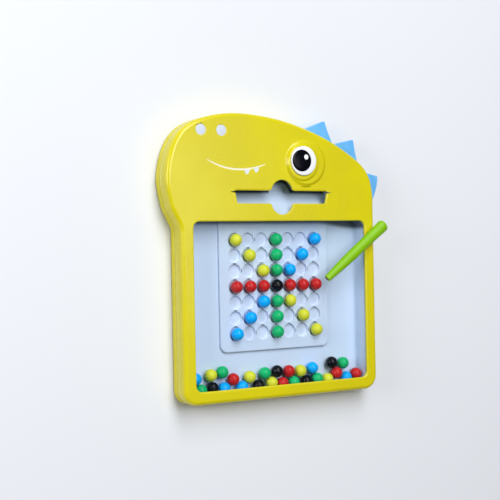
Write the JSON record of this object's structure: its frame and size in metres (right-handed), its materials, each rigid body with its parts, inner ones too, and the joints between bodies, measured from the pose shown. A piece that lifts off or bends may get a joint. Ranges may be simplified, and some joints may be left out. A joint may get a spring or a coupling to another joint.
{
  "type": "magnetic drawing board",
  "caption": "Flat toy drawing board with a dinosaur outline: coloured beads roll under a clear window into a grid of wells, pulled there by a pen with a magnetic tip.",
  "frame": {"origin": "on the flat back face, under the centre of the window", "axes": "+Z out of the face of the board, which lies on its back; +Y towards the top of the head; +X to the right, seen from the front"},
  "size_m": [0.2313, 0.2578, 0.0347],
  "materials": {
    "casing_yellow": "moulded, satin gloss",
    "rear_yellow": "moulded, fine matt grain",
    "tray_pale": "moulded, satin",
    "window_clear": "clear polystyrene sheet, polished",
    "crest_blue": "moulded, satin",
    "eye_white": "polished",
    "eye_black": "polished",
    "pen_green": "moulded, satin",
    "magnet_steel": "nickel plated",
    "bead_yellow": "polished",
    "bead_green": "polished",
    "bead_blue": "polished",
    "bead_red": "polished",
    "bead_black": "polished"
  },
  "bodies": {
    "root": {"front_shell": "casing_yellow", "rear_cover": "rear_yellow", "bead_tray": "tray_pale", "clear_window": "window_clear", "dorsal_crest": "crest_blue", "eye_white": "eye_white", "eye_pupil": "eye_black"},
    "pen": {"pen_barrel": "pen_green", "pen_magnet": "magnet_steel"},
    "bead_yellow_1": {"bead_yellow_1": "bead_yellow"},
    "bead_green_1": {"bead_green_1": "bead_green"},
    "bead_blue_1": {"bead_blue_1": "bead_blue"},
    "bead_yellow_2": {"bead_yellow_2": "bead_yellow"},
    "bead_green_2": {"bead_green_2": "bead_green"},
    "bead_blue_2": {"bead_blue_2": "bead_blue"},
    "bead_yellow_3": {"bead_yellow_3": "bead_yellow"},
    "bead_green_3": {"bead_green_3": "bead_green"},
    "bead_blue_3": {"bead_blue_3": "bead_blue"},
    "bead_red_1": {"bead_red_1": "bead_red"},
    "bead_red_2": {"bead_red_2": "bead_red"},
    "bead_red_3": {"bead_red_3": "bead_red"},
    "bead_black_1": {"bead_black_1": "bead_black"},
    "bead_red_4": {"bead_red_4": "bead_red"},
    "bead_red_5": {"bead_red_5": "bead_red"},
    "bead_red_6": {"bead_red_6": "bead_red"},
    "bead_blue_4": {"bead_blue_4": "bead_blue"},
    "bead_green_4": {"bead_green_4": "bead_green"},
    "bead_yellow_4": {"bead_yellow_4": "bead_yellow"},
    "bead_blue_5": {"bead_blue_5": "bead_blue"},
    "bead_green_5": {"bead_green_5": "bead_green"},
    "bead_yellow_5": {"bead_yellow_5": "bead_yellow"},
    "bead_blue_6": {"bead_blue_6": "bead_blue"},
    "bead_green_6": {"bead_green_6": "bead_green"},
    "bead_yellow_6": {"bead_yellow_6": "bead_yellow"},
    "bead_green_7": {"bead_green_7": "bead_green"},
    "bead_blue_7": {"bead_blue_7": "bead_blue"},
    "bead_black_2": {"bead_black_2": "bead_black"},
    "bead_red_7": {"bead_red_7": "bead_red"},
    "bead_black_3": {"bead_black_3": "bead_black"},
    "bead_yellow_7": {"bead_yellow_7": "bead_yellow"},
    "bead_blue_8": {"bead_blue_8": "bead_blue"},
    "bead_black_4": {"bead_black_4": "bead_black"},
    "bead_blue_9": {"bead_blue_9": "bead_blue"},
    "bead_yellow_8": {"bead_yellow_8": "bead_yellow"},
    "bead_green_8": {"bead_green_8": "bead_green"},
    "bead_green_9": {"bead_green_9": "bead_green"},
    "bead_red_8": {"bead_red_8": "bead_red"},
    "bead_red_9": {"bead_red_9": "bead_red"},
    "bead_red_10": {"bead_red_10": "bead_red"},
    "bead_blue_10": {"bead_blue_10": "bead_blue"},
    "bead_yellow_9": {"bead_yellow_9": "bead_yellow"},
    "bead_yellow_10": {"bead_yellow_10": "bead_yellow"},
    "bead_black_5": {"bead_black_5": "bead_black"},
    "bead_yellow_11": {"bead_yellow_11": "bead_yellow"},
    "bead_black_6": {"bead_black_6": "bead_black"},
    "bead_green_10": {"bead_green_10": "bead_green"},
    "bead_green_11": {"bead_green_11": "bead_green"},
    "bead_red_11": {"bead_red_11": "bead_red"},
    "bead_blue_11": {"bead_blue_11": "bead_blue"},
    "bead_green_12": {"bead_green_12": "bead_green"}
  },
  "joints": [
    {"name": "pen_lift", "type": "slide", "parent": "root", "child": "pen", "axis": [0, 0, 1], "range_m": [0, 0.08]},
    {"name": "bead_red_9_roll", "type": "slide", "parent": "root", "child": "bead_red_9", "axis": [0, 1, 0], "range_m": [0, 0.141]},
    {"name": "bead_red_10_roll", "type": "slide", "parent": "root", "child": "bead_red_10", "axis": [0, 1, 0], "range_m": [0, 0.004]},
    {"name": "bead_blue_10_roll", "type": "slide", "parent": "root", "child": "bead_blue_10", "axis": [0, 1, 0], "range_m": [0, 0.1335]},
    {"name": "bead_yellow_9_roll", "type": "slide", "parent": "root", "child": "bead_yellow_9", "axis": [0, 1, 0], "range_m": [0, 0.132]},
    {"name": "bead_yellow_10_roll", "type": "slide", "parent": "root", "child": "bead_yellow_10", "axis": [0, 1, 0], "range_m": [0, 0.0175]},
    {"name": "bead_black_5_roll", "type": "slide", "parent": "root", "child": "bead_black_5", "axis": [0, 1, 0], "range_m": [0, 0.0145]},
    {"name": "bead_yellow_11_roll", "type": "slide", "parent": "root", "child": "bead_yellow_11", "axis": [0, 1, 0], "range_m": [0, 0.016]},
    {"name": "bead_black_6_roll", "type": "slide", "parent": "root", "child": "bead_black_6", "axis": [0, 1, 0], "range_m": [0, 0.0105]},
    {"name": "bead_green_10_roll", "type": "slide", "parent": "root", "child": "bead_green_10", "axis": [0, 1, 0], "range_m": [0, 0.011]},
    {"name": "bead_green_11_roll", "type": "slide", "parent": "root", "child": "bead_green_11", "axis": [0, 1, 0], "range_m": [0, 0.0155]},
    {"name": "bead_red_11_roll", "type": "slide", "parent": "root", "child": "bead_red_11", "axis": [0, 1, 0], "range_m": [0, 0.0155]},
    {"name": "bead_blue_11_roll", "type": "slide", "parent": "root", "child": "bead_blue_11", "axis": [0, 1, 0], "range_m": [0, 0.014]},
    {"name": "bead_green_12_roll", "type": "slide", "parent": "root", "child": "bead_green_12", "axis": [0, 1, 0], "range_m": [0, 0.131]},
    {"name": "bead_yellow_1_lift", "type": "slide", "parent": "root", "child": "bead_yellow_1", "axis": [0, 0, 1], "range_m": [0, 0.003]},
    {"name": "bead_green_1_lift", "type": "slide", "parent": "root", "child": "bead_green_1", "axis": [0, 0, 1], "range_m": [0, 0.003]},
    {"name": "bead_blue_1_lift", "type": "slide", "parent": "root", "child": "bead_blue_1", "axis": [0, 0, 1], "range_m": [0, 0.003]},
    {"name": "bead_yellow_2_lift", "type": "slide", "parent": "root", "child": "bead_yellow_2", "axis": [0, 0, 1], "range_m": [0, 0.003]},
    {"name": "bead_green_2_lift", "type": "slide", "parent": "root", "child": "bead_green_2", "axis": [0, 0, 1], "range_m": [0, 0.003]},
    {"name": "bead_blue_2_lift", "type": "slide", "parent": "root", "child": "bead_blue_2", "axis": [0, 0, 1], "range_m": [0, 0.003]},
    {"name": "bead_yellow_3_lift", "type": "slide", "parent": "root", "child": "bead_yellow_3", "axis": [0, 0, 1], "range_m": [0, 0.003]},
    {"name": "bead_green_3_lift", "type": "slide", "parent": "root", "child": "bead_green_3", "axis": [0, 0, 1], "range_m": [0, 0.003]},
    {"name": "bead_blue_3_lift", "type": "slide", "parent": "root", "child": "bead_blue_3", "axis": [0, 0, 1], "range_m": [0, 0.003]},
    {"name": "bead_red_1_lift", "type": "slide", "parent": "root", "child": "bead_red_1", "axis": [0, 0, 1], "range_m": [0, 0.003]},
    {"name": "bead_red_2_lift", "type": "slide", "parent": "root", "child": "bead_red_2", "axis": [0, 0, 1], "range_m": [0, 0.003]},
    {"name": "bead_red_3_lift", "type": "slide", "parent": "root", "child": "bead_red_3", "axis": [0, 0, 1], "range_m": [0, 0.003]},
    {"name": "bead_black_1_lift", "type": "slide", "parent": "root", "child": "bead_black_1", "axis": [0, 0, 1], "range_m": [0, 0.003]},
    {"name": "bead_red_4_lift", "type": "slide", "parent": "root", "child": "bead_red_4", "axis": [0, 0, 1], "range_m": [0, 0.003]},
    {"name": "bead_red_5_lift", "type": "slide", "parent": "root", "child": "bead_red_5", "axis": [0, 0, 1], "range_m": [0, 0.003]},
    {"name": "bead_red_6_lift", "type": "slide", "parent": "root", "child": "bead_red_6", "axis": [0, 0, 1], "range_m": [0, 0.003]},
    {"name": "bead_blue_4_lift", "type": "slide", "parent": "root", "child": "bead_blue_4", "axis": [0, 0, 1], "range_m": [0, 0.003]},
    {"name": "bead_green_4_lift", "type": "slide", "parent": "root", "child": "bead_green_4", "axis": [0, 0, 1], "range_m": [0, 0.003]},
    {"name": "bead_yellow_4_lift", "type": "slide", "parent": "root", "child": "bead_yellow_4", "axis": [0, 0, 1], "range_m": [0, 0.003]},
    {"name": "bead_blue_5_lift", "type": "slide", "parent": "root", "child": "bead_blue_5", "axis": [0, 0, 1], "range_m": [0, 0.003]},
    {"name": "bead_green_5_lift", "type": "slide", "parent": "root", "child": "bead_green_5", "axis": [0, 0, 1], "range_m": [0, 0.003]},
    {"name": "bead_yellow_5_lift", "type": "slide", "parent": "root", "child": "bead_yellow_5", "axis": [0, 0, 1], "range_m": [0, 0.003]},
    {"name": "bead_blue_6_lift", "type": "slide", "parent": "root", "child": "bead_blue_6", "axis": [0, 0, 1], "range_m": [0, 0.003]},
    {"name": "bead_green_6_lift", "type": "slide", "parent": "root", "child": "bead_green_6", "axis": [0, 0, 1], "range_m": [0, 0.003]},
    {"name": "bead_yellow_6_lift", "type": "slide", "parent": "root", "child": "bead_yellow_6", "axis": [0, 0, 1], "range_m": [0, 0.003]},
    {"name": "bead_green_7_lift", "type": "slide", "parent": "root", "child": "bead_green_7", "axis": [0, 0, 1], "range_m": [0, 0.003]},
    {"name": "bead_blue_7_lift", "type": "slide", "parent": "root", "child": "bead_blue_7", "axis": [0, 0, 1], "range_m": [0, 0.003]},
    {"name": "bead_black_2_lift", "type": "slide", "parent": "root", "child": "bead_black_2", "axis": [0, 0, 1], "range_m": [0, 0.003]},
    {"name": "bead_red_7_lift", "type": "slide", "parent": "root", "child": "bead_red_7", "axis": [0, 0, 1], "range_m": [0, 0.003]},
    {"name": "bead_black_3_lift", "type": "slide", "parent": "root", "child": "bead_black_3", "axis": [0, 0, 1], "range_m": [0, 0.003]},
    {"name": "bead_yellow_7_lift", "type": "slide", "parent": "root", "child": "bead_yellow_7", "axis": [0, 0, 1], "range_m": [0, 0.003]},
    {"name": "bead_blue_8_lift", "type": "slide", "parent": "root", "child": "bead_blue_8", "axis": [0, 0, 1], "range_m": [0, 0.003]},
    {"name": "bead_black_4_lift", "type": "slide", "parent": "root", "child": "bead_black_4", "axis": [0, 0, 1], "range_m": [0, 0.003]},
    {"name": "bead_blue_9_lift", "type": "slide", "parent": "root", "child": "bead_blue_9", "axis": [0, 0, 1], "range_m": [0, 0.003]},
    {"name": "bead_yellow_8_lift", "type": "slide", "parent": "root", "child": "bead_yellow_8", "axis": [0, 0, 1], "range_m": [0, 0.003]},
    {"name": "bead_green_8_lift", "type": "slide", "parent": "root", "child": "bead_green_8", "axis": [0, 0, 1], "range_m": [0, 0.003]},
    {"name": "bead_green_9_lift", "type": "slide", "parent": "root", "child": "bead_green_9", "axis": [0, 0, 1], "range_m": [0, 0.003]},
    {"name": "bead_red_8_lift", "type": "slide", "parent": "root", "child": "bead_red_8", "axis": [0, 0, 1], "range_m": [0, 0.003]}
  ]
}
